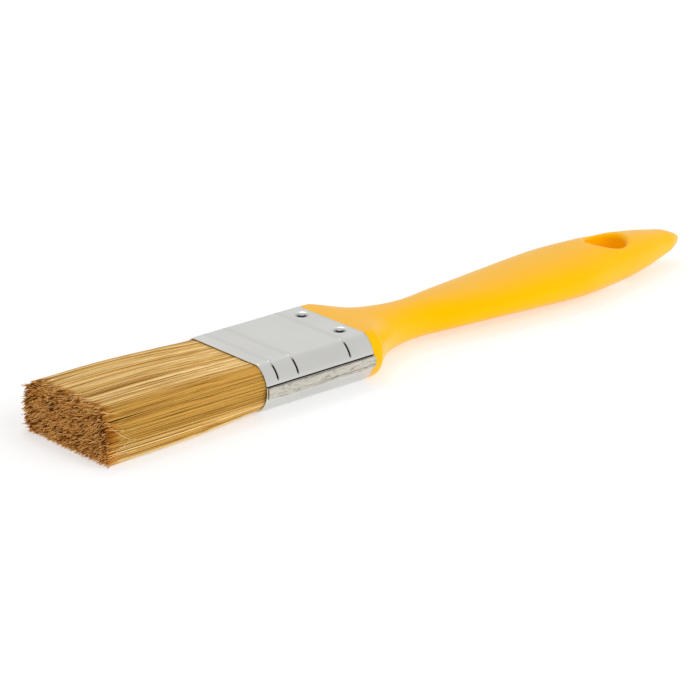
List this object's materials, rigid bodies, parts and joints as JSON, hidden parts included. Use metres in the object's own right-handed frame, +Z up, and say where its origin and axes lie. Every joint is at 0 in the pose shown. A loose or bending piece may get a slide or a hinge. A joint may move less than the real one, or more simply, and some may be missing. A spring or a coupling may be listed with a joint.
{
  "type": "paint brush",
  "caption": "Flat paint brush with a seamed metal ferrule, a nailed moulded handle and a hanging hole in its tail.",
  "frame": {"origin": "centre of the brush's footprint, on the surface that it lies on, under the ferrule's lower face", "axes": "+X along the brush from the filament tips to the handle's tail, +Y across it to the plain side of the ferrule, +Z up out of the upper face"},
  "size_m": [0.2409, 0.0393, 0.0161],
  "materials": {
    "handle_plastic": "glossy moulded, opaque yellow",
    "tinplate": "satin tin-plated sheet with faint rolling marks",
    "nail_steel": "bright nail heads",
    "filament": "golden tan filament with darker streaks and dark tips",
    "plug_wood": "plain sawn softwood",
    "setting_resin": "cast amber resin"
  },
  "bodies": {
    "root": {"handle": "handle_plastic", "ferrule": "tinplate", "nail_top_left": "nail_steel", "nail_top_right": "nail_steel", "nail_bottom_left": "nail_steel", "nail_bottom_right": "nail_steel", "bristle_bank_upper": "filament", "bristle_bank_lower": "filament", "spacer_plug": "plug_wood", "resin_setting": "setting_resin"}
  },
  "joints": []
}
